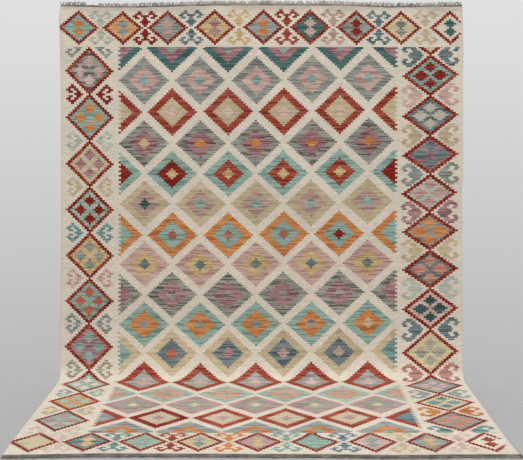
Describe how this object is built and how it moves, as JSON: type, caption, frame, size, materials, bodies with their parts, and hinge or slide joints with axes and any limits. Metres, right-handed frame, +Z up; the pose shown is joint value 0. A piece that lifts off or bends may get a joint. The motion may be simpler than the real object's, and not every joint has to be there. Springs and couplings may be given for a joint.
{
  "type": "kilim rug hung from its top end",
  "caption": "Flat-woven wool kilim with stepped lozenges and a hooked diamond border, hung from one end and turned forward to lie on the floor.",
  "frame": {"origin": "middle of the footprint, on the floor that the lower part of the rug lies on", "axes": "+X along the rug's width, to the right of someone who faces the pattern; +Y from the viewer to the hanging part; +Z up"},
  "size_m": [2.0104, 1.0716, 1.8651],
  "materials": {
    "wool_weave": "dull weft-faced wool, ribbed along the warps",
    "warp_ends": "dull plaited wool, grey-brown"
  },
  "bodies": {
    "root": {"rug_cloth": "wool_weave", "fringe_top": "warp_ends", "fringe_bottom": "warp_ends"}
  },
  "joints": []
}
